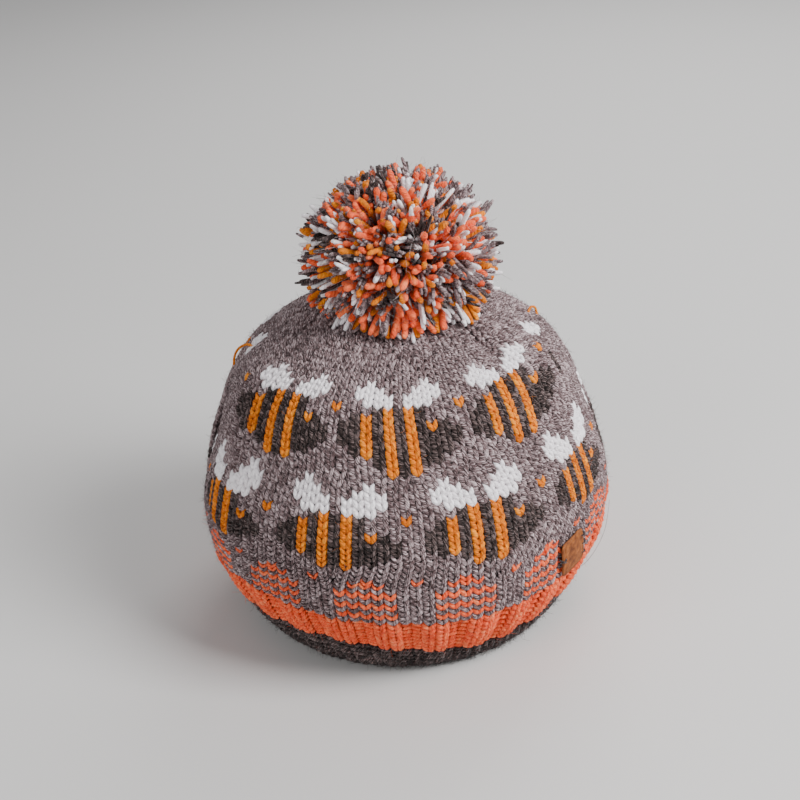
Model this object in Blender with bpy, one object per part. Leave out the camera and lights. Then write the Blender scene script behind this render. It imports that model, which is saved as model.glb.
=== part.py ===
"""A knitted tea cosy: a hollow ribbed cloth with two side slots, a yarn pompom and a leather tag."""

import math
import random

import bmesh
import bpy
from mathutils import Matrix, Vector

# Sizes are in millimetres here and in the functions. MM turns them into metres.
MM = 0.001

# Half section of the cosy's outer face, from the hem to the middle of the crown: (radius, height)
PROFILE = (
    (68.5, 0.0),
    (75.3, 10.0),
    (84.5, 25.0),
    (91.2, 42.0),
    (92.2, 59.0),
    (88.8, 78.0),
    (82.0, 96.0),
    (75.5, 112.0),
    (66.5, 125.0),
    (54.0, 135.0),
    (43.0, 142.0),
    (27.0, 148.0),
    (13.0, 150.2),
    (0.0, 150.5),
)
PROFILE_STEPS = 12
# Half the length over which the slope of the profile is taken
SLOPE_REACH = 1.0
# The crown leans a little towards the handle side
LEAN = 2.3

# Cloth: two yarns thick, because the spare colours run behind the stitches
WALL = 4.0
MERGE_DISTANCE = 0.01
# Everything below this height is the edge of the hem
HEM_EDGE_HEIGHT = 3.0
# Distances along the cloth from the hem at which it has a row of points
ROWS = (0, 5, 11, 17, 25, 34, 44, 50, 60, 71, 83, 96, 108, 119, 130, 140, 149, 158, 167, 177, 188)
FRONT_SEGMENTS = 54
BACK_SEGMENTS = 46

# Rib of the hem over its four columns: two knit ones standing out, two purl ones lying back
RIB_HEIGHTS = (0.1, 1.1, 0.1, -0.9)
RIB_CREST = 1
RIB_TOP = 44.0
RIB_FADE = 9.0
RIB_TOP_TILT = 7.0
# The columns are turned a little at the front and at the back
TWIST_DEG = -1.1

# Slots at the sides, along the cloth from the hem: start, end and half width where they gape most
SLOT_START = 44.0
SLOT_END = 130.0
SPOUT_HALF_WIDTH = 14.0
HANDLE_HALF_WIDTH = 9.0
SLOT_ROUNDNESS = 0.8
SLOT_REACH_DEG = 14.0

# Folds of the crown: (angle, where it is deepest along the cloth, depth, half width in degrees, half length)
CROWN_FOLDS = (
    (50.0, 163.0, 4.0, 6.5, 13.0),
    (-64.0, 166.0, 1.8, 8.0, 14.0),
    (-12.0, 171.0, 1.4, 8.0, 12.0),
    (21.0, 168.0, 1.5, 7.0, 13.0),
    (97.0, 164.0, 2.2, 8.0, 16.0),
    (139.0, 166.0, 2.6, 9.0, 16.0),
    (184.0, 168.0, 2.0, 9.0, 15.0),
    (228.0, 163.0, 2.4, 8.0, 16.0),
)
# Slow unevenness all round: (lobes, turn in degrees, size)
WAVES = ((2, 25.0, 0.7), (3, 80.0, 0.6), (5, 10.0, 0.35))

# Pompom: a wound core with cut locks of yarn standing out of it
POMPOM_CENTRE = (5.5, 0.0, 168.5)
POMPOM_RADIUS = 43.0
POMPOM_HALF_HEIGHT = 37.0
CORE_RADIUS = 19.0
CORE_ROUNDS = 3
CORE_SKIN = 1.0
LOCK_ROOT_INSET = 0.75
LOCK_SPREAD = 1.5
LOCK_LENGTH_VARIATION = 0.1
LOCK_TIP_STRAY = 1.0
LOWEST_LOCK_DEG = -29.0
DROOP_DEG = -12.0
DROOP = 1.5
POMPOM_SEED = 14

# Leather tag, sewn on over the last rows above the band
TAG_WIDTH = 16.0
TAG_HEIGHT = 18.0
TAG_THICK = 1.8
TAG_ANGLE = 48.5
TAG_ALONG = 55.5
TAG_TURN_DEG = 8.0
TAG_CORNER = 0.1
TAG_CORNER_POWER = 8
TAG_CELLS = (10, 10)

GAP = 0.3


def clear_scene():
    for obj in list(bpy.data.objects):
        bpy.data.objects.remove(obj, do_unlink=True)


def make_material(name, colour, roughness):
    material = bpy.data.materials.new(name)
    material.use_nodes = True
    shader = material.node_tree.nodes["Principled BSDF"]
    shader.inputs["Base Color"].default_value = (*colour, 1.0)
    shader.inputs["Roughness"].default_value = roughness
    shader.inputs["Metallic"].default_value = 0.0
    return material


def smooth_between(a, b, c, d, t):
    """A value between b and c on a smooth curve through a, b, c and d."""
    square = 2 * a - 5 * b + 4 * c - d
    cube = 3 * b - a - 3 * c + d
    return (2 * b + (c - a) * t + square * t**2 + cube * t**3) / 2


def curve_through(table):
    """Points of a smooth curve through the table's own points, each with its distance from the start."""
    ends = [table[0]] + list(table) + [(-table[-2][0], table[-2][1])]
    points = []
    for four in zip(ends, ends[1:], ends[2:], ends[3:]):
        for step in range(PROFILE_STEPS):
            t = step / PROFILE_STEPS
            points.append(tuple(smooth_between(*values, t) for values in zip(*four)))
    points.append(table[-1])
    along = [0.0]
    for one, two in zip(points, points[1:]):
        along.append(along[-1] + math.dist(one, two))
    return points, along


SECTION, SECTION_ALONG = curve_through(PROFILE)
CLOTH_LENGTH = SECTION_ALONG[-1]


def section_at(along):
    """Radius and height of the smooth profile at a distance along the cloth."""
    along = min(max(along, 0.0), CLOTH_LENGTH)
    index = next(i for i, reach in enumerate(SECTION_ALONG[1:]) if reach >= along)
    share = (along - SECTION_ALONG[index]) / (SECTION_ALONG[index + 1] - SECTION_ALONG[index])
    one, two = SECTION[index], SECTION[index + 1]
    return one[0] + share * (two[0] - one[0]), one[1] + share * (two[1] - one[1])


def angle_between(one, two):
    return (one - two + 180.0) % 360.0 - 180.0


def fold_depth(angle, along):
    """How far the gathers of the crown draw the cloth in."""
    depth = 0.0
    for middle, deepest, size, half_width, half_length in CROWN_FOLDS:
        across = angle_between(angle, middle) / half_width
        down = (along - deepest) / half_length
        depth += size * math.exp(-(across**2) - down**2)
    return depth


def wave_height(angle, along):
    fade = math.sin(math.pi * min(along / CLOTH_LENGTH, 1.0))
    return fade * sum(size * math.sin(math.radians(lobes * (angle - turn))) for lobes, turn, size in WAVES)


def cloth_point(angle, along, lift=0.0):
    """A point of the outer face. The angle is 0 at the front and 90 at the handle side, both in degrees."""
    radius, height = section_at(along)
    ahead = section_at(along + SLOPE_REACH)
    behind = section_at(along - SLOPE_REACH)
    slope = Vector((ahead[0] - behind[0], ahead[1] - behind[1])).normalized()
    out = lift + wave_height(angle, along) - fold_depth(angle, along)
    radius += slope.y * out
    height -= slope.x * out
    turn = math.radians(angle)
    lean = LEAN * (height / PROFILE[-1][1]) ** 2
    return Vector((radius * math.sin(turn) + lean, -radius * math.cos(turn), height))


def slot_half_width(along, widest):
    if not SLOT_START < along < SLOT_END:
        return 0.0
    share = (along - SLOT_START) / (SLOT_END - SLOT_START)
    return widest * math.sin(math.pi * share) ** SLOT_ROUNDNESS


def slot_shift(angle, edge, widest, along):
    """Degrees by which a gaping slot pushes the cloth beside it away from the slot's middle."""
    away = abs(angle_between(angle, edge))
    opening = math.degrees(slot_half_width(along, widest) / section_at(along)[0])
    return opening * math.exp(-away / SLOT_REACH_DEG)


def rib_height(index, angle, along):
    top = RIB_TOP + RIB_TOP_TILT * math.sin(math.radians(angle))
    fade = min(max((top - along) / RIB_FADE, 0.0), 1.0)
    return fade * RIB_HEIGHTS[index % len(RIB_HEIGHTS)]


def panel(first_edge, span, segments, first_index, edges):
    """One half of the cosy as an open grid. Each of edges is (angle, half width, direction of the push)."""
    sheet = bmesh.new()
    bmesh.ops.create_grid(sheet, x_segments=segments, y_segments=len(ROWS) - 1, size=0.5)
    for vert in sheet.verts:
        column = round((vert.co.x + 0.5) * segments)
        along = ROWS[round((vert.co.y + 0.5) * (len(ROWS) - 1))]
        level = first_edge + span * column / segments
        angle = level + TWIST_DEG * math.cos(math.radians(level))
        for edge, widest, push in edges:
            angle += push * slot_shift(level, edge, widest, along)
        vert.co = cloth_point(angle, along, rib_height(first_index + column, level, along))
        if along == 0:
            vert.co.z = 0.0
    return sheet


def join_sheets(sheets):
    whole = bmesh.new()
    for sheet in sheets:
        mesh = bpy.data.meshes.new("sheet")
        sheet.to_mesh(mesh)
        whole.from_mesh(mesh)
        sheet.free()
        bpy.data.meshes.remove(mesh)
    return whole


def close_crown(cloth):
    """Draws the last row together on the middle of the crown."""
    last_radius = section_at(ROWS[-1])[0]
    rim = [
        edge
        for edge in cloth.edges
        if edge.is_boundary and all(vert.co.xy.length < last_radius + 2 * LEAN for vert in edge.verts)
    ]
    made = bmesh.ops.extrude_edge_only(cloth, edges=rim)
    crown = [item for item in made["geom"] if isinstance(item, bmesh.types.BMVert)]
    bmesh.ops.pointmerge(cloth, verts=crown, merge_co=Vector((LEAN, 0.0, PROFILE[-1][1])))


def thicken(cloth, thickness):
    """Gives the open sheet its wall on the inner side, with the edges closed."""
    bmesh.ops.recalc_face_normals(cloth, faces=cloth.faces[:])
    bmesh.ops.solidify(cloth, geom=cloth.faces[:], thickness=thickness)
    bmesh.ops.recalc_face_normals(cloth, faces=cloth.faces[:])


def level_hem(cloth):
    """Lays the edge of the hem flat, so that the cosy rests on a level ring."""
    for vert in cloth.verts:
        if vert.co.z < HEM_EDGE_HEIGHT:
            vert.co.z = 0.0


def finish(cloth, name, material, collection, scale=MM):
    for vert in cloth.verts:
        vert.co *= scale
    mesh = bpy.data.meshes.new(name)
    cloth.to_mesh(mesh)
    cloth.free()
    mesh.materials.append(material)
    mesh.shade_smooth()
    obj = bpy.data.objects.new(name, mesh)
    collection.objects.link(obj)
    return obj


def build_knit_body(collection):
    front_edges = ((-90.0, SPOUT_HALF_WIDTH, 1.0), (90.0, HANDLE_HALF_WIDTH, -1.0))
    back_edges = ((90.0, HANDLE_HALF_WIDTH, 1.0), (270.0, SPOUT_HALF_WIDTH, -1.0))
    front = panel(-90.0, 180.0, FRONT_SEGMENTS, 0, front_edges)
    back = panel(90.0, 180.0, BACK_SEGMENTS, FRONT_SEGMENTS, back_edges)
    cloth = join_sheets((front, back))
    bmesh.ops.remove_doubles(cloth, verts=cloth.verts[:], dist=MERGE_DISTANCE)
    close_crown(cloth)
    thicken(cloth, WALL)
    level_hem(cloth)
    material = make_material("grey_wool", (0.20, 0.18, 0.18), 0.95)
    return finish(cloth, "knit_body", material, collection)


def lock_tip_radius(direction):
    """Distance from the pompom's middle to its outer face, which is a ball a little wider than it is high."""
    across = direction.xy.length / POMPOM_RADIUS
    upward = direction.z / POMPOM_HALF_HEIGHT
    return 1.0 / math.hypot(across, upward)


def raise_lock(ball, face, chance):
    """Draws one lock of yarn out of a face of the core."""
    direction = face.calc_center_median().normalized()
    rise = math.degrees(math.asin(direction.z))
    if rise < LOWEST_LOCK_DEG:
        return
    bmesh.ops.inset_individual(ball, faces=[face], thickness=LOCK_ROOT_INSET)
    made = bmesh.ops.extrude_discrete_faces(ball, faces=[face])
    tip = made["faces"][0]
    root = tip.calc_center_median()
    reach = lock_tip_radius(direction) * (1.0 - LOCK_LENGTH_VARIATION * chance.random())
    droop = DROOP * max(0.0, DROOP_DEG - rise) / (DROOP_DEG - LOWEST_LOCK_DEG)
    stray = Vector([chance.uniform(-LOCK_TIP_STRAY, LOCK_TIP_STRAY) for _ in range(3)])
    end = direction * reach + stray - Vector((0.0, 0.0, droop))
    for vert in tip.verts:
        vert.co = end + (vert.co - root) * LOCK_SPREAD


def build_pompom(collection):
    ball = bmesh.new()
    bmesh.ops.create_icosphere(ball, subdivisions=CORE_ROUNDS, radius=CORE_RADIUS)
    chance = random.Random(POMPOM_SEED)
    for face in ball.faces[:]:
        raise_lock(ball, face, chance)
    seat = PROFILE[-1][1] + GAP - POMPOM_CENTRE[2]
    for vert in ball.verts:
        if vert.co.length < CORE_RADIUS + CORE_SKIN:
            vert.co.z = max(vert.co.z, seat)
    bmesh.ops.translate(ball, verts=ball.verts[:], vec=POMPOM_CENTRE)
    bmesh.ops.recalc_face_normals(ball, faces=ball.faces[:])
    material = make_material("coral_wool", (0.75, 0.20, 0.08), 0.9)
    return finish(ball, "pompom", material, collection)


def build_leather_tag(collection):
    across, up = TAG_CELLS
    patch = bmesh.new()
    bmesh.ops.create_grid(patch, x_segments=across, y_segments=up, size=1.0)
    radius = section_at(TAG_ALONG)[0]
    turn = Matrix.Rotation(math.radians(TAG_TURN_DEG), 2)
    for vert in patch.verts:
        side = vert.co.x * (1.0 - TAG_CORNER * abs(vert.co.y) ** TAG_CORNER_POWER)
        rise = vert.co.y * (1.0 - TAG_CORNER * abs(vert.co.x) ** TAG_CORNER_POWER)
        place = turn @ Vector((side * TAG_WIDTH / 2, rise * TAG_HEIGHT / 2))
        angle = TAG_ANGLE + math.degrees(place.x / radius)
        along = TAG_ALONG + place.y
        vert.co = cloth_point(angle, along, GAP + TAG_THICK + rib_height(RIB_CREST, angle, along))
    thicken(patch, TAG_THICK)
    material = make_material("tan_leather", (0.38, 0.15, 0.05), 0.6)
    return finish(patch, "leather_tag", material, collection)


def main():
    clear_scene()
    collection = bpy.data.collections.new("tea_cosy")
    bpy.context.scene.collection.children.link(collection)
    build_knit_body(collection)
    build_pompom(collection)
    build_leather_tag(collection)


main()
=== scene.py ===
import math

import bmesh
import bpy
import numpy as np
from mathutils import Matrix, Vector


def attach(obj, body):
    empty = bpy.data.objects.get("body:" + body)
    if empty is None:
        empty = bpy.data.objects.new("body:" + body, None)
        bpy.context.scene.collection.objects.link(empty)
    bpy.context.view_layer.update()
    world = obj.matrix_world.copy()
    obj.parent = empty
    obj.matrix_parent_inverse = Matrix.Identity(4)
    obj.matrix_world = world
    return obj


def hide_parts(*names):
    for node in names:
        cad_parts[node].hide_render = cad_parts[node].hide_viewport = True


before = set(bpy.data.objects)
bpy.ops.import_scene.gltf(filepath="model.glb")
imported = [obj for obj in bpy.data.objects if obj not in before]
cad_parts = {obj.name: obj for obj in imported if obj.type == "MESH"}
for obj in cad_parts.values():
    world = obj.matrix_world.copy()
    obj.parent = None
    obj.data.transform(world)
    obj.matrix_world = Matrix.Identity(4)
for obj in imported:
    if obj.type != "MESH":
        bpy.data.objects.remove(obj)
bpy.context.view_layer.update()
mm = 0.001
chance = np.random.default_rng(11)
# each strand shows its own stretch of a yarn this long, in mm
yarnLength = 900.0

# the cloth's own surface, in millimetres
cloth = {
    # (radius, height) from the hem to the crown
    "profile": ((68.5, 0.0), (75.3, 10.0), (84.5, 25.0), (91.2, 42.0), (92.2, 59.0), (88.8, 78.0),
                (82.0, 96.0), (75.5, 112.0), (66.5, 125.0), (54.0, 135.0), (43.0, 142.0), (27.0, 148.0),
                (13.0, 150.2), (0.0, 150.5)),
    "profileSteps": 12,
    "slopeReach": 1.0,
    "lean": 2.3,
    # (lobes, turn, size)
    "waves": ((2, 25.0, 0.7), (3, 80.0, 0.6), (5, 10.0, 0.35)),
    # (angle, along, depth, half width, half length)
    "crownFolds": ((50.0, 163.0, 5.5, 5.5, 14.0), (-64.0, 166.0, 1.8, 8.0, 14.0),
                   (-12.0, 171.0, 1.4, 8.0, 12.0), (21.0, 168.0, 1.5, 7.0, 13.0),
                   (97.0, 164.0, 2.2, 8.0, 16.0), (139.0, 166.0, 2.6, 9.0, 16.0),
                   (184.0, 168.0, 2.0, 9.0, 15.0), (228.0, 163.0, 2.4, 8.0, 16.0)),
    "slotStart": 44.0,
    "slotEnd": 130.0,
    "spoutHalf": 14.0,
    "handleHalf": 9.0,
    "slotRoundness": 0.8,
    "slotReach": 14.0,
}


def smoothBetween(a, b, c, d, t):
    square = 2 * a - 5 * b + 4 * c - d
    cube = 3 * b - a - 3 * c + d
    return (2 * b + (c - a) * t + square * t**2 + cube * t**3) / 2


def smoothLine(table, steps):
    # points of a smooth curve through the lines of a table
    table = np.array(table, float)
    ends = np.concatenate((2 * table[:1] - table[1:2], table, 2 * table[-1:] - table[-2:-1]))
    points = [smoothBetween(*ends[i:i + 4], step / steps)
              for i in range(len(table) - 1) for step in range(steps)]
    return np.array(points + [table[-1]])


def profileLine():
    table = cloth["profile"]
    ends = [table[0]] + list(table) + [(-table[-2][0], table[-2][1])]
    points = []
    for four in zip(ends, ends[1:], ends[2:], ends[3:]):
        for step in range(cloth["profileSteps"]):
            t = step / cloth["profileSteps"]
            points.append([smoothBetween(*values, t) for values in zip(*four)])
    points = np.array(points + [list(table[-1])])
    steps = np.linalg.norm(np.diff(points, axis=0), axis=1)
    return points, np.concatenate(([0.0], np.cumsum(steps)))


sectionPoints, sectionAlong = profileLine()
clothLength = sectionAlong[-1]
crownHeight = cloth["profile"][-1][1]


def sectionAt(along):
    # the radius and height of the cloth
    along = np.clip(along, 0.0, clothLength)
    radius, height = sectionPoints.T
    return np.interp(along, sectionAlong, radius), np.interp(along, sectionAlong, height)


def angleBetween(one, two):
    return (one - two + 180.0) % 360.0 - 180.0


def surfaceShift(angle, along):
    waves = [size * np.sin(np.radians(lobes * (angle - turn))) for lobes, turn, size in cloth["waves"]]
    shift = np.sin(np.pi * np.minimum(along / clothLength, 1.0)) * sum(waves)
    for middle, deepest, depth, halfWidth, halfLength in cloth["crownFolds"]:
        across = angleBetween(angle, middle) / halfWidth
        down = (along - deepest) / halfLength
        shift = shift - depth * np.exp(-(across**2) - down**2)
    return shift


def clothPoints(angle, along, lift):
    # the angle is 0 at the front and 90 at the handle side
    radius, height = sectionAt(along)
    aheadRadius, aheadHeight = sectionAt(along + cloth["slopeReach"])
    behindRadius, behindHeight = sectionAt(along - cloth["slopeReach"])
    slopeOut, slopeUp = aheadRadius - behindRadius, aheadHeight - behindHeight
    size = np.hypot(slopeOut, slopeUp)
    out = lift + surfaceShift(angle, along)
    radius = radius + slopeUp / size * out
    height = height - slopeOut / size * out
    turn = np.radians(angle)
    lean = cloth["lean"] * (height / crownHeight) ** 2
    return np.stack((radius * np.sin(turn) + lean, -radius * np.cos(turn), height), axis=-1)


def slotHalf(along, widest):
    share = np.clip((along - cloth["slotStart"]) / (cloth["slotEnd"] - cloth["slotStart"]), 0.0, 1.0)
    return widest * np.sin(np.pi * share) ** cloth["slotRoundness"]


def openSlots(angle, along, side):
    # the cloth beside a gaping slot is pushed away from it
    edges = ((-90.0, "spoutHalf", 1.0), (90.0, "handleHalf", -1.0))
    if side == "back":
        edges = ((90.0, "handleHalf", 1.0), (270.0, "spoutHalf", -1.0))
    pushed = angle
    for edge, widest, direction in edges:
        opening = np.degrees(slotHalf(along, cloth[widest]) / sectionAt(along)[0])
        pushed = pushed + direction * opening * np.exp(-np.abs(angle - edge) / cloth["slotReach"])
    return pushed


# rows of the knitting counted from the hem, and its wales counted from the left edge of each half
knit = {
    # (rows, how far along the cloth they reach)
    "bands": ((7, 18.0), (8, 43.0), (9, 66.0), (2, 72.0), (8, 99.0), (5, 113.5), (8, 139.0), (4, 151.0),
              (17, 209.9)),
    "hemTop": 7,
    "bandTop": 15,
    "increaseRow": 24,
    "decreaseRow": 38,
    "highRow": 39,
    "lastRow": 66,
    # (row, first wale, step) of the wales that end in the crown
    "crownRows": ((54, 1, 3), (59, 2, 3), (64, 0, 6)),
    # rows over which a new wale widens and an ending one narrows
    "widenRows": 4.0,
    "narrowRows": 2.0,
    # the upper bees lie between these ranks, and the cloth beside the slots is plain
    "plainRanks": {"front": (6, 43), "back": (7, 42)},
    # how far the rows ride up and the wales lie aside, at each of these angles: (along, shifts)
    "angles": (-90, -64, -50, -36, -22, -5, 14, 27, 40, 52, 66, 90, 180, 270),
    "rowShifts": (
        (0.0, (0, 0, 0, 0, 0, 0, 0, 0, 0, 0, 0, 0, 0, 0)),
        (18.0, (4, 8, 11, 12, 11, 5, -2, -5, -3.5, 1, 4, 8, 4, 4)),
        (43.0, (1, 4, 7.6, 6.5, 3.6, 2.2, -0.9, -0.6, 0.5, 4.5, 11, 18, 8, 1)),
        (60.0, (1, 1, 3, 4, 4.5, 3.5, 2, -1, 3, 4, 6, 9, 3, 1)),
        (85.0, (-11, -11, -6.5, -3.6, -3, -4, -2.5, -3.5, -3, -3, -3.5, -3, -3, -11)),
        (99.0, (-11, -11, -6.5, -3.6, -3, -4, -2.5, -3.5, -3, -3, -3.5, -3, -3, -11)),
        (113.0, (-4, -4, 0, 2, 1, -2, -1, 0, 1, 2, 2, 2, 0, -4)),
        (139.0, (-3, -3, 2, 3, 3, 1, 1, 2, 3, 3, 4, 3, 1, -3)),
        (160.0, (0, 0, 1, 1, 1, 1, 1, 1, 1, 1, 1, 1, 1, 0)),
        (210.0, (0, 0, 0, 0, 0, 0, 0, 0, 0, 0, 0, 0, 0, 0)),
    ),
    "waleShifts": (
        (0.0, (0, -1.5, -1.5, -1, -0.8, -0.7, -0.9, -1, -3.5, -3.5, -2.5, 0, 0, 0)),
        (62.0, (0, -1.5, -1.5, -1, -0.8, -0.7, -0.9, -1, -3.5, -3.5, -2.5, 0, 0, 0)),
        (76.0, (0, -8, -2, -0.6, -0.5, 1.2, 1, 2.4, 3, 1.5, 0.5, 0, 0, 0)),
        (99.0, (0, -8, -2, -0.6, -0.5, 1.2, 1, 2.4, 3, 1.5, 0.5, 0, 0, 0)),
        (113.0, (0, -5, 0.5, 1.1, -1, 0.3, -0.5, -1.2, -2.2, -2.9, 2, 0, 0, 0)),
        (139.0, (0, -10.8, -3, -1.8, -2.7, -1.4, -1.5, -0.5, -0.6, 1.6, 6.7, 0, 0, 0)),
        (175.0, (0, 0, 0, 0, 0, 0, 0, 0, 0, 0, 0, 0, 0, 0)),
    ),
    # in the rib two knit wales stand out and two purl ones lie back
    "ribRepeat": 4,
    "ribCrest": 1,
    "ribPurl": (2, 3),
    "ribLift": 1.1,
    "ribRise": 0.1,
    "ribFade": ((0, 0.15), (6, 0.25), (9, 0.85), (14, 1.0), (16, 0.0)),
    "knitWidth": 1.18,
    "purlWidth": 0.82,
    "hemRoll": 1.3,
}
halves = {
    "front": {"start": -90.0, "wales": 58, "firstRank": 0, "increases": (7, 22, 36, 51),
              "decreases": (3, 9, 16, 23, 29, 35, 42, 48, 54)},
    "back": {"start": 90.0, "wales": 54, "firstRank": 54, "increases": (3, 10, 17, 24, 30, 37, 44, 51),
             "decreases": (6, 13, 20, 27, 33, 40, 47, 52)},
}
rowStops = np.concatenate(([0], np.cumsum([rows for rows, reach in knit["bands"]])))
rowReach = np.array([0.0] + [reach for rows, reach in knit["bands"]])


def shiftAt(table, along, angle):
    along, angle = np.broadcast_arrays(along, angle)
    stops = np.array([line[0] for line in table])
    values = np.array([np.interp(angle, knit["angles"], line[1]) for line in table])
    place = np.clip(np.searchsorted(stops, along, side="right") - 1, 0, len(stops) - 2)
    share = np.clip((along - stops[place]) / (stops[place + 1] - stops[place]), 0.0, 1.0)
    low = np.take_along_axis(values, place[None], 0)[0]
    high = np.take_along_axis(values, place[None] + 1, 0)[0]
    return low + (high - low) * share


def rowAlong(row, angle):
    along = np.interp(row, rowStops, rowReach)
    return along + shiftAt(knit["rowShifts"], along, angle)


def countWales(half):
    # how wide each wale is in each row, and where its edges lie
    wales = np.arange(half["wales"])
    rows = np.arange(rowStops[-1] + 2)
    weights = np.ones((len(rows), len(wales)))
    half["lowRank"] = wales - np.searchsorted(half["increases"], wales)
    half["highRank"] = wales - np.searchsorted(half["decreases"], wales)
    inRib = np.interp(rows, (knit["bandTop"] - 1, knit["bandTop"] + 1), (1.0, 0.0))[:, None]
    purl = np.isin((half["firstRank"] + half["lowRank"]) % knit["ribRepeat"], knit["ribPurl"])[None]
    weights += inRib * (np.where(purl, knit["purlWidth"], knit["knitWidth"]) - 1.0)
    for wale in half["increases"]:
        weights[:, wale] *= np.clip((rows - knit["increaseRow"]) / knit["widenRows"] + 0.5, 0.0, 1.0)
    closing = [(knit["decreaseRow"], half["decreases"])]
    closing += [(row, tuple(wales[first::step])) for row, first, step in knit["crownRows"]]
    for row, dropped in closing:
        for wale in dropped:
            weights[:, wale] *= np.clip((row - rows) / knit["narrowRows"] + 0.5, 0.0, 1.0)
    edges = np.concatenate((np.zeros((len(rows), 1)), np.cumsum(weights, axis=1)), axis=1)
    half["weights"] = weights
    half["edges"] = edges / edges[:, -1:] * 180.0


for half in halves.values():
    countWales(half)


def waleAngle(row, wale, across, side):
    # angle of a place across a wale, from its left edge at 0 to its right edge at 1
    edges = halves[side]["edges"]
    below = np.clip(np.floor(row).astype(int), 0, len(edges) - 2)
    share = np.clip(row - below, 0.0, 1.0)
    left = edges[below, wale] * (1 - share) + edges[below + 1, wale] * share
    right = edges[below, wale + 1] * (1 - share) + edges[below + 1, wale + 1] * share
    angle = left + (right - left) * across + halves[side]["start"]
    return angle + shiftAt(knit["waleShifts"], np.interp(row, rowStops, rowReach), angle)


def ribHeight(row, wale, across, side):
    rank = halves[side]["firstRank"] + halves[side]["lowRank"][wale] + across
    turn = 2 * np.pi * (rank - knit["ribCrest"]) / knit["ribRepeat"]
    fade = np.interp(row, *zip(*knit["ribFade"]))
    roll = knit["hemRoll"] * np.sin(np.pi * np.clip(row / knit["hemTop"], 0.0, 1.0))
    return roll + fade * (knit["ribRise"] + knit["ribLift"] * np.cos(turn))


# the pattern as a chart: w white, o ochre, k charcoal, c coral, blank grey
beeChart = (
    "  w     w   ",
    " www   www  ",
    " wwww wwww  ",
    "  www www   ",
    "   kokok   o",
    " kokokok    ",
    "kkokokokok  ",
    "kkokokokkkk ",
    "kkokokokkkk ",
    " kokokokkk  ",
    "   kokokk   ",
    "    oko     ",
)
domeChart = (
    "   c   c",
    "  ccc   ",
    "        ",
    " ccccc  ",
    "        ",
    " ccccc  ",
    "        ",
    " ccccc  ",
    "        ",
)
# (chart, lowest row, repeat, rank of the wale at the chart's left edge)
motifs = {
    "domes": (domeChart, 15, 8, 20),
    "lowBees": (beeChart, 26, 13, 17),
    "highBees": (beeChart, 39, 12, 19),
}


def isPurl(row, wale, side):
    rank = halves[side]["firstRank"] + halves[side]["lowRank"][wale]
    return row < knit["hemTop"] or (row < knit["bandTop"] and rank % knit["ribRepeat"] in knit["ribPurl"])


def stitchColour(row, wale, side):
    if row < knit["hemTop"]:
        return "k"
    if row < knit["bandTop"]:
        return "c"
    name, rank = "highBees", halves[side]["highRank"][wale]
    if row < knit["increaseRow"]:
        name, rank = "domes", halves[side]["lowRank"][wale]
    elif row < knit["highRow"]:
        name, rank = "lowBees", wale
    chart, lowest, repeat, first = motifs[name]
    line = lowest + len(chart) - 1 - row
    column = (rank - first) % repeat
    if not 0 <= line < len(chart) or chart[line][column : column + 1] in ("", " "):
        return "g"
    first, last = knit["plainRanks"][side]
    if name == "highBees" and (rank < first or (rank > last and chart[line][column] != "w")):
        return "g"
    return chart[line][column]


# joined meshes from arrays
def addMesh(name, points, faces, material, uvs=None):
    mesh = bpy.data.meshes.new(name)
    mesh.from_pydata((points * mm).tolist(), [], faces)
    if uvs is not None:
        layer = mesh.uv_layers.new(name="yarn")
        corners = np.zeros(len(mesh.loops), np.int32)
        mesh.loops.foreach_get("vertex_index", corners)
        layer.data.foreach_set("uv", uvs[corners].astype(np.float32).ravel())
    mesh.materials.append(material)
    mesh.shade_smooth()
    obj = bpy.data.objects.new(name, mesh)
    bpy.context.scene.collection.objects.link(obj)
    return obj


def tubes(centres, outward, wide, deep, sides):
    # centres and outward are (strands, rings, 3), wide and deep (strands, rings)
    count, rings = centres.shape[:2]
    along = np.gradient(centres, axis=1)
    along = along / np.linalg.norm(along, axis=2, keepdims=True)
    across = np.cross(outward, along)
    across = across / np.linalg.norm(across, axis=2, keepdims=True)
    up = np.cross(along, across)
    turn = 2 * np.pi * (np.arange(sides) + 0.5) / sides - np.pi / 2
    points = (centres[:, :, None]
              + across[:, :, None] * (wide[:, :, None] * np.cos(turn))[..., None]
              + up[:, :, None] * (deep[:, :, None] * np.sin(turn))[..., None])
    ring = np.arange(sides)
    after = (ring + 1) % sides
    band = np.stack((ring, after, after + sides, ring + sides), axis=1)
    bands = np.concatenate([band + sides * i for i in range(rings - 1)])
    starts = (np.arange(count) * rings * sides)[:, None, None]
    quads = (bands[None] + starts).reshape(-1, 4).tolist()
    last = (rings - 1) * sides
    caps = (ring[::-1][None] + starts[:, 0]).tolist() + (last + ring[None] + starts[:, 0]).tolist()
    steps = np.linalg.norm(np.diff(centres, axis=1), axis=2)
    lengths = np.concatenate((np.zeros((count, 1)), np.cumsum(steps, axis=1)), axis=1)
    offset = chance.uniform(0.0, yarnLength, count)[:, None]
    u = np.repeat((lengths + offset)[:, :, None], sides, axis=2)
    v = np.broadcast_to((np.arange(sides) + 0.5) / sides, u.shape)
    return points.reshape(-1, 3), quads + caps, np.stack((u, v), axis=-1).reshape(-1, 2)


def joinTubes(name, parts, material):
    # parts is a list of what tubes returned
    points, faces, uvs, start = [], [], [], 0
    for part in parts:
        points.append(part[0])
        faces += [[index + start for index in face] for face in part[1]]
        uvs.append(part[2])
        start += len(part[0])
    return addMesh(name, np.concatenate(points), faces, material, np.concatenate(uvs))


# materials
def addMath(nodes, links, operation, first, second=None, third=None):
    node = nodes.new("ShaderNodeMath")
    node.operation = operation
    for socket, value in zip(node.inputs, (first, second, third)):
        if isinstance(value, bpy.types.NodeSocket):
            links.new(value, socket)
        elif value is not None:
            socket.default_value = value
    return node.outputs["Value"]


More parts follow.
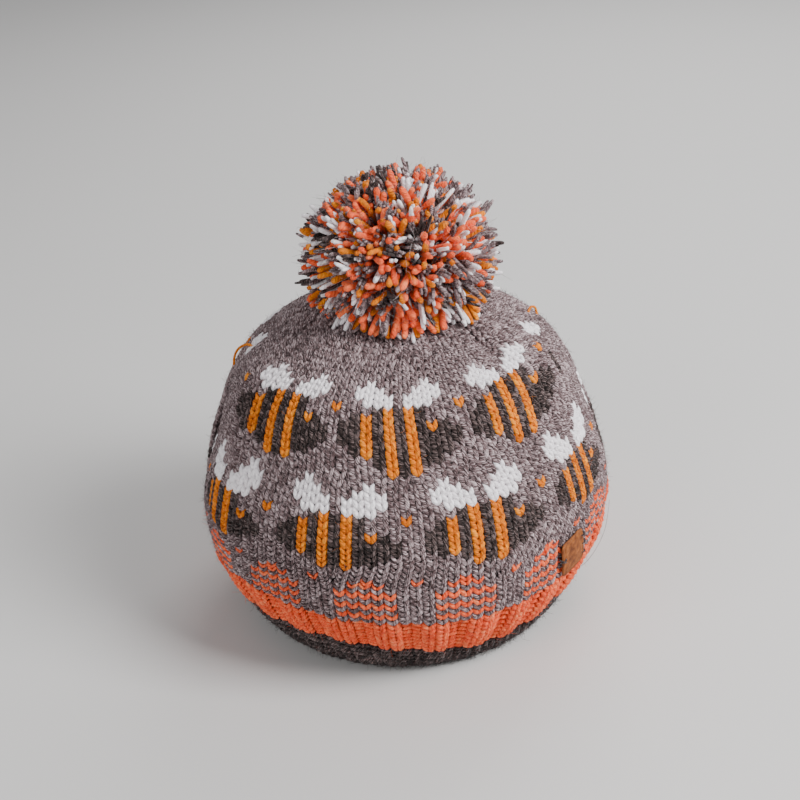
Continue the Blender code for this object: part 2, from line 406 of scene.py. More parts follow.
def addNoise(nodes, links, vector, scale, detail, roughness=0.6):
    noise = nodes.new("ShaderNodeTexNoise")
    noise.inputs["Scale"].default_value = scale
    noise.inputs["Detail"].default_value = detail
    noise.inputs["Roughness"].default_value = roughness
    links.new(vector, noise.inputs["Vector"])
    return noise.outputs["Fac"]


def addMix(nodes, links, factor, first, second):
    mix = nodes.new("ShaderNodeMix")
    mix.data_type = "RGBA"
    links.new(factor, mix.inputs["Factor"])
    links.new(first, mix.inputs["A"])
    links.new(second, mix.inputs["B"])
    return mix.outputs["Result"]


# noise along and round the yarn, and the slant and turns of its plies
yarnLook = {"fibres": (0.42, 8.0, 1.0), "patches": (0.10, 0.5, 1.0), "slant": 0.30, "plies": 3.0,
            "turns": 0.20}


def woolGroup():
    # a spun yarn: light and dark fibres along it, patches of them, and the twist of its plies
    group = bpy.data.node_groups.new("woolYarn", "ShaderNodeTree")
    for name in ("Dark", "Middle", "Light"):
        group.interface.new_socket(name=name, in_out="INPUT", socket_type="NodeSocketColor")
    for name in ("Fleck", "Patch", "Twist"):
        group.interface.new_socket(name=name, in_out="INPUT", socket_type="NodeSocketFloat")
    group.interface.new_socket(name="Color", in_out="OUTPUT", socket_type="NodeSocketColor")
    group.interface.new_socket(name="Height", in_out="OUTPUT", socket_type="NodeSocketFloat")
    nodes, links = group.nodes, group.links
    given, made = nodes.new("NodeGroupInput"), nodes.new("NodeGroupOutput")
    uv = nodes.new("ShaderNodeUVMap")
    uv.uv_map = "yarn"
    parts = nodes.new("ShaderNodeSeparateXYZ")
    links.new(uv.outputs["UV"], parts.inputs["Vector"])
    slanted = nodes.new("ShaderNodeCombineXYZ")
    links.new(parts.outputs["X"], slanted.inputs["X"])
    slant = addMath(nodes, links, "MULTIPLY_ADD", parts.outputs["X"], yarnLook["slant"], parts.outputs["Y"])
    links.new(slant, slanted.inputs["Y"])
    values = []
    for name, vector, detail in (("fibres", slanted.outputs["Vector"], 2.0),
                                 ("patches", uv.outputs["UV"], 1.0)):
        stretch = nodes.new("ShaderNodeMapping")
        stretch.inputs["Scale"].default_value = yarnLook[name]
        links.new(vector, stretch.inputs["Vector"])
        values.append(addNoise(nodes, links, stretch.outputs["Vector"], 1.0, detail))
    fibres, patches = [addMath(nodes, links, "SUBTRACT", value, 0.5) for value in values]
    fleck = addMath(nodes, links, "MULTIPLY_ADD", fibres, given.outputs["Fleck"], 0.5)
    tone = addMath(nodes, links, "MULTIPLY_ADD", patches, given.outputs["Patch"], fleck)
    low = nodes.new("ShaderNodeMapRange")
    low.inputs["From Max"].default_value = 0.5
    high = nodes.new("ShaderNodeMapRange")
    high.inputs["From Min"].default_value = 0.5
    links.new(tone, low.inputs["Value"])
    links.new(tone, high.inputs["Value"])
    lower = addMix(nodes, links, low.outputs["Result"], given.outputs["Dark"], given.outputs["Middle"])
    colour = addMix(nodes, links, high.outputs["Result"], lower, given.outputs["Light"])
    links.new(colour, made.inputs["Color"])
    spiral = addMath(nodes, links, "MULTIPLY_ADD", parts.outputs["X"], yarnLook["turns"], parts.outputs["Y"])
    plies = addMath(nodes, links, "MULTIPLY", spiral, 2 * math.pi * yarnLook["plies"])
    wave = addMath(nodes, links, "SINE", plies)
    height = addMath(nodes, links, "MULTIPLY_ADD", wave, given.outputs["Twist"], values[0])
    links.new(height, made.inputs["Height"])
    return group


yarnGroup = woolGroup()


def wool(name, dark, middle, light, fleck=4.4, patch=2.0, twist=0.18, sheen=0.12):
    material = bpy.data.materials.new(name)
    material.use_nodes = True
    nodes, links = material.node_tree.nodes, material.node_tree.links
    shader = nodes["Principled BSDF"]
    shader.inputs["Roughness"].default_value = 0.9
    shader.inputs["Specular IOR Level"].default_value = 0.15
    shader.inputs["Sheen Weight"].default_value = sheen
    shader.inputs["Sheen Roughness"].default_value = 0.5
    yarn = nodes.new("ShaderNodeGroup")
    yarn.node_tree = yarnGroup
    for socket, colour in (("Dark", dark), ("Middle", middle), ("Light", light)):
        yarn.inputs[socket].default_value = (*colour, 1.0)
    for socket, value in (("Fleck", fleck), ("Patch", patch), ("Twist", twist)):
        yarn.inputs[socket].default_value = value
    bump = nodes.new("ShaderNodeBump")
    bump.inputs["Strength"].default_value = 0.8
    bump.inputs["Distance"].default_value = 0.0005
    links.new(yarn.outputs["Color"], shader.inputs["Base Color"])
    links.new(yarn.outputs["Height"], bump.inputs["Height"])
    links.new(bump.outputs["Normal"], shader.inputs["Normal"])
    return material


wools = {
    "g": wool("greyHeather", (0.036, 0.020, 0.020), (0.180, 0.117, 0.121), (0.56, 0.45, 0.46), 4.4, 1.4),
    "k": wool("charcoalHeather", (0.008, 0.005, 0.0045), (0.029, 0.017, 0.0155), (0.20, 0.145, 0.14),
              4.2, 1.4),
    "w": wool("whiteWool", (0.76, 0.68, 0.70), (0.98, 0.93, 0.96), (1.0, 0.99, 1.0), 2.0, 0.8),
    "o": wool("ochreWool", (0.42, 0.085, 0.003), (0.78, 0.195, 0.006), (0.96, 0.36, 0.03),
              2.4, 1.4, 0.3, 0.06),
    "c": wool("coralWool", (0.66, 0.050, 0.016), (0.98, 0.135, 0.044), (1.0, 0.29, 0.12),
              2.4, 1.4, 0.3, 0.06),
}
colourNames = {"g": "grey", "k": "charcoal", "w": "white", "o": "ochre", "c": "coral"}

stitch = {
    # one leg of a knit stitch: across from the wale's middle, up in rows, lift in mm, thickness
    "leg": ((0.03, -0.28, -2.1, 0.58), (0.115, 0.07, -1.00, 0.94), (0.235, 0.45, -0.75, 1.05),
            (0.36, 0.86, -0.95, 0.97), (0.425, 1.22, -2.1, 0.60)),
    # one purl bump
    "purl": ((-0.55, 0.15, -2.5, 0.75), (-0.30, 0.42, -1.3, 0.95), (0.0, 0.62, -0.9, 1.0),
             (0.30, 0.42, -1.3, 0.95), (0.55, 0.15, -2.5, 0.75)),
    "legWide": 0.238,
    "legOfRow": 0.36,
    "legDeep": 1.2,
    "purlWide": 0.40,
    "sides": 5,
    "leastWeight": 0.35,
    "jitter": 0.020,
    "hemJitter": 0.10,
    "lowGreyRows": 36,
}


def strandPoints(rows, wales, side, form, mirror):
    across, up, lift, thick = np.array(form).T
    shape = (len(rows), len(form))
    size = np.where(rows < knit["hemTop"], stitch["hemJitter"], stitch["jitter"])[:, None]
    wobble = chance.normal(0.0, 1.0, shape) * size
    row = rows[:, None] + up[None] + wobble
    place = 0.5 + mirror * across[None] + wobble[:, ::-1]
    wale = np.broadcast_to(wales[:, None], shape)
    angle = waleAngle(row, wale, place, side)
    along = rowAlong(row, angle)
    height = lift[None] + ribHeight(row, wale, place, side)
    angle = openSlots(angle, along, side)
    centres = clothPoints(angle, along, height)
    outward = clothPoints(angle, along, height + 1.0) - centres
    return centres, outward, np.broadcast_to(thick, shape)


def waleWidth(rows, wales, side):
    middle = waleAngle(rows + 0.5, wales, 0.5, side)
    across = waleAngle(rows + 0.5, wales, 1.0, side) - waleAngle(rows + 0.5, wales, 0.0, side)
    return np.radians(np.abs(across)) * sectionAt(rowAlong(rows + 0.5, middle))[0]


def rowHeight(rows, wales, side):
    middle = waleAngle(rows + 0.5, wales, 0.5, side)
    return rowAlong(rows + 1.0, middle) - rowAlong(rows + 0.0, middle)


def sortStitches(side):
    groups = {}
    for row in range(knit["lastRow"]):
        for wale in range(halves[side]["wales"]):
            if halves[side]["weights"][row, wale] >= stitch["leastWeight"]:
                form = "purl" if isPurl(row, wale, side) else "leg"
                groups.setdefault((stitchColour(row, wale, side), form), []).append((row, wale))
    return groups


def knitPiece(name, colour, parts):
    # parts is a list of (side, form, stitches)
    made = []
    for side, form, found in parts:
        rows, wales = np.array(found).T
        for mirror in ((-1.0, 1.0) if form == "leg" else (1.0,)):
            centres, outward, thick = strandPoints(rows, wales, side, stitch[form], mirror)
            wide = stitch["purlWide"] * rowHeight(rows, wales, side)
            if form == "leg":
                wide = np.minimum(stitch["legWide"] * waleWidth(rows, wales, side),
                                  stitch["legOfRow"] * rowHeight(rows, wales, side))
            deep = thick * stitch["legDeep"]
            made.append(tubes(centres, outward, thick * wide[:, None], deep, stitch["sides"]))
    return joinTubes(name, made, wools[colour])


knitPieces = []
stitchesByColour = {}
for side in halves:
    groups = sortStitches(side)
    for (colour, form), found in groups.items():
        stitchesByColour.setdefault(colour, []).extend((side, row, wale) for row, wale in found)
    for colour in sorted({key[0] for key in groups}):
        mine = [(side, form, groups[(colour, form)]) for form in ("leg", "purl") if (colour, form) in groups]
        if colour == "g":
            split = stitch["lowGreyRows"]
            low = [(s, f, [x for x in found if x[0] < split]) for s, f, found in mine]
            high = [(s, f, [x for x in found if x[0] >= split]) for s, f, found in mine]
            knitPieces.append(knitPiece(f"knit_grey_{side}_low", colour, low))
            knitPieces.append(knitPiece(f"knit_grey_{side}_high", colour, high))
        else:
            knitPieces.append(knitPiece(f"knit_{colourNames[colour]}_{side}", colour, mine))
print("stitches done", len(knitPieces))

# the cloth behind the stitches, in darker copies of the pattern's colours as painted shade in the gaps
# between them
base = {
    "lift": -2.1,
    "thickness": 1.4,
    "merge": 0.01,
    "crownRadius": 12.0,
    # the purl bumps of its wrong side, painted lighter on their tops and darker in their hollows as painted
    # shade, with random flecks
    "flecks": 900.0,
    "arch": 0.16,
    "bumpShare": 0.5,
    # how far bump height and flecks lighten or darken the colour: painted shade on the bumps, plus random
    # flecks
    "shadeAndFleckGain": 1.3,
    "shadeAndFleckFloor": 0.6,
    # darker copies of the yarn colours: painted shade in the gaps between the stitches
    "shadedTones": {"g": (0.045, 0.032, 0.032), "k": (0.010, 0.007, 0.006), "w": (0.40, 0.37, 0.36),
              "o": (0.26, 0.06, 0.003), "c": (0.33, 0.035, 0.010)},
}


def clothSheet(side):
    # one column at each edge of the half and one in the middle of each wale
    wales = halves[side]["wales"]
    rows = np.concatenate(([0.0], np.arange(knit["lastRow"]) + 0.5, [float(knit["lastRow"])]))
    wale = np.concatenate(([0], np.arange(wales), [wales - 1]))
    across = np.concatenate(([0.0], np.full(wales, 0.5), [1.0]))
    row, wale = np.meshgrid(rows, wale, indexing="ij")
    across = np.broadcast_to(across, row.shape)
    angle = waleAngle(row, wale, across, side)
    along = rowAlong(row, angle)
    lift = base["lift"] + ribHeight(row, wale, across, side)
    points = clothPoints(openSlots(angle, along, side), along, lift).reshape(-1, 3)
    whole = np.minimum(row.astype(int), knit["lastRow"] - 1).ravel()
    shadedTones = [base["shadedTones"][stitchColour(r, w, side)] for r, w in zip(whole, wale.ravel())]
    uvs = np.stack((wale + across, row), axis=-1).reshape(-1, 2)
    width = row.shape[1]
    corner = np.arange(row.shape[0] - 1)[:, None] * width + np.arange(width - 1)[None]
    faces = np.stack((corner, corner + 1, corner + width + 1, corner + width), axis=-1).reshape(-1, 4)
    return points, faces, np.array(shadedTones), uvs


def makeBaseCloth(material):
    front, back = clothSheet("front"), clothSheet("back")
    points, faces, shadedTones, uvs = [np.concatenate(both) for both in zip(front, back)]
    faces[len(front[1]):] += len(front[0])
    obj = addMesh("cloth_ground", points, faces.tolist(), material, uvs)
    # the tone attribute holds the darkened pattern colours: painted shade between the stitches
    tone = obj.data.color_attributes.new("tone", "FLOAT_COLOR", "POINT")
    tone.data.foreach_set("color", np.concatenate((shadedTones, np.ones((len(shadedTones), 1))), axis=1).ravel())
    whole = bmesh.new()
    whole.from_mesh(obj.data)
    bmesh.ops.remove_doubles(whole, verts=whole.verts[:], dist=base["merge"] * mm)
    rim = [edge for edge in whole.edges
           if edge.is_boundary and all(vert.co.xy.length < base["crownRadius"] * mm for vert in edge.verts)]
    made = bmesh.ops.extrude_edge_only(whole, edges=rim)
    crown = [item for item in made["geom"] if isinstance(item, bmesh.types.BMVert)]
    middle = Vector((cloth["lean"], 0.0, crownHeight + base["lift"])) * mm
    bmesh.ops.pointmerge(whole, verts=crown, merge_co=middle)
    bmesh.ops.recalc_face_normals(whole, faces=whole.faces[:])
    bmesh.ops.solidify(whole, geom=whole.faces[:], thickness=base["thickness"] * mm)
    bmesh.ops.recalc_face_normals(whole, faces=whole.faces[:])
    for vert in whole.verts:
        vert.co.z = max(vert.co.z, 0.0)
    whole.to_mesh(obj.data)
    whole.free()
    obj.data.shade_smooth()
    return obj


def groundWool():
    # the wrong side of the knitting: rows of purl bumps in darkened copies of the pattern's colours, painted
    # shade in the gaps between the stitches; each bump is painted lighter on top and darker in its hollows,
    # with random flecks
    material = bpy.data.materials.new("groundPaintedShade")
    material.use_nodes = True
    nodes, links = material.node_tree.nodes, material.node_tree.links
    shader = nodes["Principled BSDF"]
    shader.inputs["Roughness"].default_value = 0.92
    shader.inputs["Specular IOR Level"].default_value = 0.12
    tone = nodes.new("ShaderNodeVertexColor")
    tone.layer_name = "tone"
    uv = nodes.new("ShaderNodeUVMap")
    uv.uv_map = "yarn"
    parts = nodes.new("ShaderNodeSeparateXYZ")
    links.new(uv.outputs["UV"], parts.inputs["Vector"])
    place = nodes.new("ShaderNodeTexCoord")
    flecks = addNoise(nodes, links, place.outputs["Object"], base["flecks"], 3.0)
    arch = addMath(nodes, links, "COSINE", addMath(nodes, links, "MULTIPLY", parts.outputs["X"], 2 * math.pi))
    row = addMath(nodes, links, "MULTIPLY_ADD", arch, base["arch"], parts.outputs["Y"])
    bumps = addMath(nodes, links, "SINE", addMath(nodes, links, "MULTIPLY", row, 2 * math.pi))
    height = addMath(nodes, links, "MULTIPLY_ADD", bumps, base["bumpShare"], flecks)
    paintedBumpShade = nodes.new("ShaderNodeHueSaturation")
    links.new(tone.outputs["Color"], paintedBumpShade.inputs["Color"])
    # the colour's brightness follows the bump height: painted shade, plus random flecks
    shade = addMath(nodes, links, "MULTIPLY_ADD", height, base["shadeAndFleckGain"], base["shadeAndFleckFloor"])
    links.new(shade, paintedBumpShade.inputs["Value"])
    links.new(paintedBumpShade.outputs["Color"], shader.inputs["Base Color"])
    bump = nodes.new("ShaderNodeBump")
    bump.inputs["Strength"].default_value = 0.9
    bump.inputs["Distance"].default_value = 0.001
    links.new(height, bump.inputs["Height"])
    links.new(bump.outputs["Normal"], shader.inputs["Normal"])
    return material


ground = makeBaseCloth(groundWool())
print("ground cloth done", len(ground.data.polygons))

fuzz = {
    # fibres for each colour
    "counts": {"g": 7800, "k": 5200, "w": 1000, "o": 800, "c": 1700},
    "radius": 0.065,
    "taper": (1.0, 0.9, 0.5),
    "sides": 3,
    "reach": 3.0,
    "reachSpread": (0.4, 1.3),
    "bend": 0.9,
    "steps": (0.0, 0.55, 1.0),
    "start": -0.3,
    "lift": 0.85,
    "standOff": 1.6,
    "leastAlong": 0.5,
    "leastHeight": 0.2,
}


def makeFuzz(colour):
    # loose fibres that stand off the stitches of one colour
    places = stitchesByColour[colour]
    picked = chance.integers(0, len(places), fuzz["counts"][colour])
    steps = np.array(fuzz["steps"])
    made = []
    for side in halves:
        mine = np.array([places[i][1:] for i in picked if places[i][0] == side])
        count = len(mine)
        row = mine[:, 0] + chance.random(count)
        angle = waleAngle(row, mine[:, 1], chance.random(count), side)
        along = rowAlong(row, angle)
        bulge = ribHeight(row, mine[:, 1], 0.5, side)
        turn = chance.uniform(0.0, 2 * np.pi, count)
        bend = turn[:, None] + chance.normal(0.0, fuzz["bend"], count)[:, None] * steps
        reach = fuzz["reach"] * chance.uniform(*fuzz["reachSpread"], count)[:, None] * steps
        angles = angle[:, None] + np.degrees(reach * np.cos(bend) / sectionAt(along)[0][:, None])
        alongs = np.maximum(along[:, None] + reach * np.sin(bend), fuzz["leastAlong"])
        rise = np.abs(chance.normal(0.0, fuzz["lift"], count))[:, None] * steps * fuzz["standOff"]
        lifts = fuzz["start"] + bulge[:, None] + rise
        centres = clothPoints(openSlots(angles, alongs, side), alongs, lifts)
        centres[:, :, 2] = np.maximum(centres[:, :, 2], fuzz["leastHeight"])
        outward = clothPoints(angles, alongs, lifts + 1.0) - clothPoints(angles, alongs, lifts)
        size = np.broadcast_to(fuzz["radius"] * np.array(fuzz["taper"]), (count, len(steps)))
        made.append(tubes(centres, outward, size, size, fuzz["sides"]))
    return joinTubes(f"fuzz_{colourNames[colour]}", made, wools[colour])


fuzzPieces = [makeFuzz(colour) for colour in fuzz["counts"]]
print("fuzz done")

loose = {
    "steps": 5,
    "sides": 5,
    # (name, colour, thickness, points as angle, along and lift)
    "strands": (
        ("float_spout", "o", 0.6, ((-92, 141, -0.4), (-95, 138, 1.6), (-97, 133, 2.4), (-98, 128, 1.6),
                                   (-97, 124, -0.4))),
        ("float_handle", "o", 0.6, ((98, 146, -0.4), (101, 145, 1.6), (103, 142, 2.0), (102, 139, -0.4))),
        ("hair_handle", "g", 0.10, ((54, 40, 0.2), (60, 38, 2.0), (67, 40, 3.0), (71, 45, 3.2), (73, 51, 2.6),
                                    (77, 55, 2.0))),
        ("hair_crown", "g", 0.09, ((46, 172, 0.2), (49, 172, 3.5), (54, 174, 5.5), (55, 179, 5.0),
                                   (50, 181, 3.4), (49, 177, 3.0))),
        ("hair_spout", "g", 0.08, ((-60, 150, 0.2), (-66, 148, 2.0), (-72, 143, 3.4), (-74, 136, 3.0))),
        ("hair_front", "k", 0.07, ((-14, 92, 0.2), (-11, 95, 1.2), (-9, 93, 1.6), (-10, 90, 1.0),
                                   (-13, 90, 0.8))),
    ),
}


def makeLoose(name, colour, thick, table):
    line = smoothLine(table, loose["steps"])
    centres = clothPoints(line[:, 0], line[:, 1], line[:, 2])[None]
    outward = clothPoints(line[:, 0], line[:, 1], line[:, 2] + 1.0)[None] - centres
    size = np.full(centres.shape[:2], thick)
    return joinTubes(name, [tubes(centres, outward, size, size, loose["sides"])], wools[colour])


loosePieces = [makeLoose(*strand) for strand in loose["strands"]]

pompom = {
    "centre": (5.5, 0.0, 167.0),
    "radius": 42.5,
    "halfHeight": 36.5,
    "strands": 1900,
    "inner": 0.40,
    "steps": (0.0, 0.42, 0.74, 0.95, 1.0),
    "swell": (0.85, 0.97, 1.0, 0.98, 0.60),
    "lengthVariation": 0.20,
    "lengthPower": 1.3,
    "stray": 0.085,
    "flop": 5.0,
    "bend": 1.0,
    "lowest": -38.0,
    # how far a strand that points down sinks, and how soon it starts to
    "droop": 7.0,
    "droopStart": 0.05,
    "droopRise": 4.0,
    "seatGap": 1.8,
    # (colour, share, plies in a strand, radius of a ply, spread of the plies at the tip)
    "yarns": (("c", 0.31, 1, 1.38, 0.0), ("o", 0.20, 1, 1.34, 0.0), ("w", 0.17, 2, 1.02, 0.95),
              ("k", 0.06, 3, 0.88, 1.10), ("g", 0.26, 3, 0.90, 1.10)),
    # (colour, loose fibres) that stand off the strands
    "fuzz": (("g", 2200), ("w", 800)),
    "fuzzRadius": 0.065,
    "fuzzTaper": (1.0, 0.9, 0.5),
    "fuzzSteps": (0.0, 0.5, 1.0),
    "fuzzSides": 3,
    "fuzzStart": (0.86, 1.0),
    "fuzzOut": 0.5,
    "fuzzReach": 3.2,
    "fuzzCurl": 0.8,
    "plyRoot": 0.75,
    "plyLength": 0.04,
    "thickVariation": 0.08,
    "sides": {1: 6, 2: 4, 3: 4},
    "coreRadius": 25.0,
}


def pompomStrands():
    count = pompom["strands"]
    golden = math.pi * (3 - math.sqrt(5))
    index = np.arange(count) + 0.5
    lowest = math.sin(math.radians(pompom["lowest"]))
    up = 1.0 - index / count * (1.0 - lowest)
    flat = np.sqrt(1 - up**2)
    direction = np.stack((flat * np.cos(golden * index), flat * np.sin(golden * index), up), axis=-1)
    direction += chance.normal(0.0, pompom["stray"], direction.shape)
    direction /= np.linalg.norm(direction, axis=1, keepdims=True)
    flatReach = np.hypot(direction[:, 0], direction[:, 1]) / pompom["radius"]
    reach = 1.0 / np.hypot(flatReach, direction[:, 2] / pompom["halfHeight"])
    shorter = pompom["lengthVariation"] * chance.random(count) ** pompom["lengthPower"]
    return direction, reach * (1.0 - shorter)


def plyPoints(direction, reach, plies, spread):
    # each strand is one ply or more, fanned out a little at its cut end
    count = len(direction)
    steps = np.array(pompom["steps"])
    flop = chance.normal(0.0, pompom["flop"], direction.shape)
    flop -= direction * (flop * direction).sum(axis=1, keepdims=True)
    bend = chance.normal(0.0, pompom["bend"], direction.shape)
    side = np.cross(direction, chance.normal(0.0, 1.0, direction.shape))
    side /= np.linalg.norm(side, axis=1, keepdims=True)
    over = np.cross(direction, side)
    down = (-direction[:, 2] - pompom["droopStart"]) * pompom["droopRise"]
    droop = pompom["droop"] * np.clip(down, 0.0, 1.0)
    made = []
    for ply in range(plies):
        turn = 2 * np.pi * ply / plies
        offset = side * math.cos(turn) + over * math.sin(turn)
        length = reach * (1.0 + chance.normal(0.0, pompom["plyLength"] if plies > 1 else 0.0, count))
        inner = pompom["inner"] * reach
        distance = inner[:, None] + (length - inner)[:, None] * steps
        apart = spread * (pompom["plyRoot"] + (1.0 - pompom["plyRoot"]) * steps**2)
        centres = (direction[:, None] * distance[..., None]
                   + flop[:, None] * (steps**2)[None, :, None]
                   + bend[:, None] * np.sin(np.pi * steps)[None, :, None]
                   + offset[:, None] * apart[None, :, None])
        centres[:, :, 2] -= droop[:, None] * steps**2
        made.append(centres)
    return np.concatenate(made)


def makePompom():
    direction, reach = pompomStrands()
    shares = np.array([yarn[1] for yarn in pompom["yarns"]])
    picked = chance.choice(len(shares), size=len(reach), p=shares / shares.sum())
    profile = np.array(cloth["profile"][::-1])
    made = []
    for number, (colour, share, plies, radius, spread) in enumerate(pompom["yarns"]):
        mine = picked == number
        centres = plyPoints(direction[mine], reach[mine], plies, spread) + np.array(pompom["centre"])
        fromAxis = np.hypot(centres[:, :, 0] - cloth["lean"], centres[:, :, 1])
        seat = np.interp(fromAxis, profile[:, 0], profile[:, 1]) + pompom["seatGap"]
        centres[:, :, 2] = np.maximum(centres[:, :, 2], seat)
        outward = np.cross(np.tile(direction[mine], (plies, 1)), chance.normal(0.0, 1.0, (len(centres), 3)))
        outward = np.broadcast_to(outward[:, None], centres.shape)
        thick = chance.normal(radius, pompom["thickVariation"] * radius, len(centres))
        thick = thick[:, None] * np.array(pompom["swell"])
        strands = tubes(centres, outward, thick, thick, pompom["sides"][plies])
        made.append(joinTubes(f"pompom_{colourNames[colour]}", [strands], wools[colour]))
    return made


def makePompomFuzz(colour, count):
    direction, reach = pompomStrands()
    picked = chance.integers(0, len(reach), count)
    steps = np.array(pompom["fuzzSteps"])
    start = direction[picked] * (reach[picked] * chance.uniform(*pompom["fuzzStart"], count))[:, None]
    going = direction[picked] * pompom["fuzzOut"] + chance.normal(0.0, 1.0, (count, 3))
    curl = chance.normal(0.0, pompom["fuzzCurl"], (count, 3))
    centres = (start[:, None] + going[:, None] * (pompom["fuzzReach"] * steps)[None, :, None]
               + curl[:, None] * np.sin(np.pi * steps)[None, :, None] + np.array(pompom["centre"]))
    centres[:, :, 2] = np.maximum(centres[:, :, 2], crownHeight + pompom["seatGap"])
    outward = np.broadcast_to(curl[:, None], centres.shape)
    size = np.broadcast_to(pompom["fuzzRadius"] * np.array(pompom["fuzzTaper"]), (count, len(steps)))
    fibres = tubes(centres, outward, size, size, pompom["fuzzSides"])
    return joinTubes(f"pompom_fuzz_{colourNames[colour]}", [fibres], wools[colour])


def makePompomCore():
    bpy.ops.object.select_all(action="DESELECT")
    bpy.ops.mesh.primitive_ico_sphere_add(subdivisions=4, radius=pompom["coreRadius"] * mm)
    core = bpy.context.object
    core.name = core.data.name = "pompom_shade_core"
    middle = Vector(pompom["centre"]) * mm
    for vert in core.data.vertices:
        vert.co += middle
        vert.co.z = max(vert.co.z, (crownHeight + pompom["seatGap"]) * mm)
    core.data.uv_layers[0].name = "yarn"
    # charcoal, so the gaps between the strands read dark: painted shade
    core.data.materials.append(wools["k"])
    core.data.shade_smooth()
    return core


pompomPieces = makePompom() + [makePompomCore()] + [makePompomFuzz(*line) for line in pompom["fuzz"]]
print("pompom done", sum(len(piece.data.polygons) for piece in pompomPieces))

tag = {
    "width": 16.0, "height": 18.0, "thick": 1.8, "angle": 48.5, "along": 55.5, "turn": 8.0, "gap": 0.3,
    "corner": 0.1, "cornerPower": 8, "cells": (36, 40), "back": 0.6, "edge": 0.9, "edgeFall": 0.6,
    # the pressed line inside its edge
    "line": 1.7, "lineWide": 0.3, "lineDeep": 0.35,
    # (place across, place up) of each end of a thread stitch, from the middle of the tag
    "threads": (((-9.2, 0.5), (-5.6, 1.4)), ((-9.0, 2.2), (-5.8, -0.6)), ((5.9, 5.0), (9.0, 4.6)),
                ((5.9, 0.4), (9.1, 0.8)), ((5.9, -4.4), (9.0, -4.9))),
    "threadThick": 0.42,
    "threadSides": 5,
    # lift along a stitch on the left edge and on the right one, as a share of the thickness
    "threadLeft": (0.1, 0.6, 1.05, 1.1, 1.1, 0.8),
    "threadRight": (0.1, 0.8, 1.05, 1.1, 1.0, 0.5),
}


def tagPoint(across, up, lift):
    # across and up in mm from the middle of the tag
    turn = math.radians(tag["turn"])
    sideways = across * math.cos(turn) - up * math.sin(turn)
    rise = across * math.sin(turn) + up * math.cos(turn)
    angle = tag["angle"] + np.degrees(sideways / sectionAt(tag["along"])[0])
    return clothPoints(angle, tag["along"] + rise, lift)


def makeTag(material):
    patch = bmesh.new()
    bmesh.ops.create_grid(patch, x_segments=tag["cells"][0], y_segments=tag["cells"][1], size=1.0)
    for vert in patch.verts:
        x, y = vert.co.x, vert.co.y
        nearest = min((tag["width"] / 2) * (1 - abs(x)), (tag["height"] / 2) * (1 - abs(y)))
        fall = -tag["edgeFall"] * max(0.0, 1.0 - nearest / tag["edge"]) ** 2
        line = -tag["lineDeep"] * math.exp(-(((nearest - tag["line"]) / tag["lineWide"]) ** 2))
        across = x * (1.0 - tag["corner"] * abs(y) ** tag["cornerPower"]) * tag["width"] / 2
        up = y * (1.0 - tag["corner"] * abs(x) ** tag["cornerPower"]) * tag["height"] / 2
        vert.co = tagPoint(across, up, tag["gap"] + tag["thick"] + fall + line)
    bmesh.ops.recalc_face_normals(patch, faces=patch.faces[:])
    bmesh.ops.solidify(patch, geom=patch.faces[:], thickness=tag["thick"] - tag["back"])
    bmesh.ops.recalc_face_normals(patch, faces=patch.faces[:])
    for vert in patch.verts:
        vert.co *= mm
    mesh = bpy.data.meshes.new("tag_leather")
    patch.to_mesh(mesh)
    patch.free()
    mesh.materials.append(material)
    mesh.shade_smooth()
    obj = bpy.data.objects.new("tag_leather", mesh)
    bpy.context.scene.collection.objects.link(obj)
    return obj


def makeTagThread():
    steps = np.linspace(0.0, 1.0, len(tag["threadLeft"]))
    made = []
    for one, two in tag["threads"]:
        across = one[0] + (two[0] - one[0]) * steps
        up = one[1] + (two[1] - one[1]) * steps
        shares = tag["threadLeft"] if one[0] < 0 else tag["threadRight"]
        lift = tag["gap"] + tag["thick"] * np.array(shares)
        centres = tagPoint(across, up, lift)[None]
        outward = tagPoint(across, up, lift + 1.0)[None] - centres
        size = np.full((1, len(steps)), tag["threadThick"])
        made.append(tubes(centres, outward, size, size, tag["threadSides"]))
    return joinTubes("tag_thread", made, wools["k"])


def leather():
    material = bpy.data.materials.new("tanLeather")
    material.use_nodes = True
    nodes, links = material.node_tree.nodes, material.node_tree.links
    shader = nodes["Principled BSDF"]
    shader.inputs["Roughness"].default_value = 0.68
    shader.inputs["Specular IOR Level"].default_value = 0.25
    place = nodes.new("ShaderNodeTexCoord")
    mottle = addNoise(nodes, links, place.outputs["Object"], 380.0, 4.0)
    ramp = nodes.new("ShaderNodeValToRGB")
    ramp.color_ramp.elements[0].position = 0.32
    ramp.color_ramp.elements[0].color = (0.09, 0.021, 0.005, 1.0)
    ramp.color_ramp.elements[1].position = 0.68
    ramp.color_ramp.elements[1].color = (0.34, 0.105, 0.024, 1.0)
    links.new(mottle, ramp.inputs["Fac"])
    links.new(ramp.outputs["Color"], shader.inputs["Base Color"])
    grain = nodes.new("ShaderNodeTexVoronoi")
    grain.inputs["Scale"].default_value = 1500.0
    links.new(place.outputs["Object"], grain.inputs["Vector"])
    bump = nodes.new("ShaderNodeBump")
    bump.inputs["Strength"].default_value = 0.35
    bump.inputs["Distance"].default_value = 0.0002
    links.new(grain.outputs["Distance"], bump.inputs["Height"])
    links.new(bump.outputs["Normal"], shader.inputs["Normal"])
    return material


tagPiece = makeTag(leather())
threadPiece = makeTagThread()
print("tag done")

# what each piece rides on and replaces
woolPieces = knitPieces + fuzzPieces + loosePieces + [threadPiece]
for piece in [ground] + woolPieces:
    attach(piece, "root")
for piece in pompomPieces:
    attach(piece, "root")
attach(tagPiece, "root")
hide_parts("knit_body")
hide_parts("pompom")
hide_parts("leather_tag")

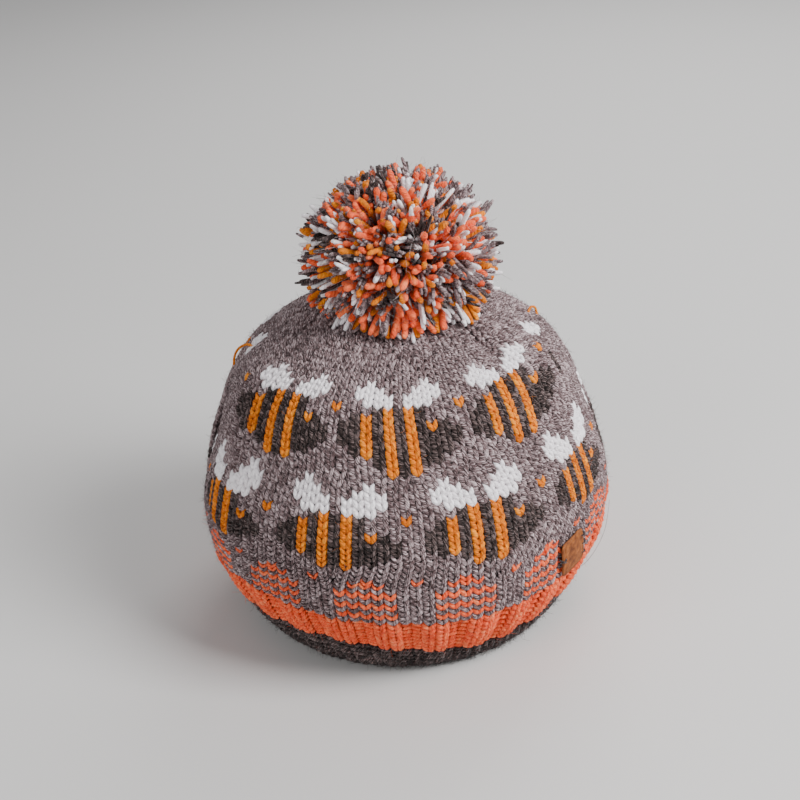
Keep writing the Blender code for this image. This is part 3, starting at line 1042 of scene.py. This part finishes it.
# floor, light and camera
studio = {
    "floorHalf": 4.0, "floorDrop": 0.0004, "target": (1.2, 0.0, 96.6), "elevation": 28.0, "distance": 650.0,
    "roll": 4.3, "lens": 64.9, "sensor": 36.0, "aim": (0.0, 0.0, 0.09),
    # (name, place, size, power)
    "lights": (("keyLight", (0.90, -0.50, 0.95), 0.6, 29.0), ("fillLight", (-0.9, -0.9, 0.7), 1.0, 7.5),
               ("backLight", (0.4, 1.0, 0.9), 0.8, 9.0)),
    "worldColour": (0.9, 0.9, 0.92, 1.0),
    "worldStrength": 0.36,
}


def paleFloor():
    material = bpy.data.materials.new("paleFloor")
    material.use_nodes = True
    shader = material.node_tree.nodes["Principled BSDF"]
    shader.inputs["Base Color"].default_value = (0.62, 0.61, 0.60, 1.0)
    shader.inputs["Roughness"].default_value = 0.8
    return material


bpy.ops.object.select_all(action="DESELECT")
bpy.ops.mesh.primitive_plane_add(size=2 * studio["floorHalf"], location=(0, 0, 0))
floor = bpy.context.object
floor.name = floor.data.name = "floor"
for vert in floor.data.vertices:
    vert.co.z = -studio["floorDrop"]
floor.data.materials.append(paleFloor())


def softLight(name, place, size, power):
    light = bpy.data.lights.new(name, "AREA")
    light.shape = "SQUARE"
    light.size = size
    light.energy = power
    obj = bpy.data.objects.new(name, light)
    obj.location = place
    obj.rotation_euler = (Vector(studio["aim"]) - Vector(place)).to_track_quat("-Z", "Y").to_euler()
    bpy.context.scene.collection.objects.link(obj)


for light in studio["lights"]:
    softLight(*light)

world = bpy.data.worlds.new("studio")
world.use_nodes = True
world.node_tree.nodes["Background"].inputs["Color"].default_value = studio["worldColour"]
world.node_tree.nodes["Background"].inputs["Strength"].default_value = studio["worldStrength"]
bpy.context.scene.world = world

rise = math.radians(studio["elevation"])
roll = math.radians(studio["roll"])
backward = Vector((0.0, -math.cos(rise), math.sin(rise)))
sideways = Vector((1.0, 0.0, 0.0))
upward = backward.cross(sideways)
right = math.cos(roll) * sideways - math.sin(roll) * upward
up = math.sin(roll) * sideways + math.cos(roll) * upward
camera = bpy.data.objects.new("camera", bpy.data.cameras.new("camera"))
camera.data.lens = studio["lens"]
camera.data.sensor_width = studio["sensor"]
place = (Vector(studio["target"]) + backward * studio["distance"]) * mm
camera.matrix_world = Matrix.Translation(place) @ Matrix((right, up, backward)).transposed().to_4x4()
bpy.context.scene.collection.objects.link(camera)
bpy.context.scene.camera = camera
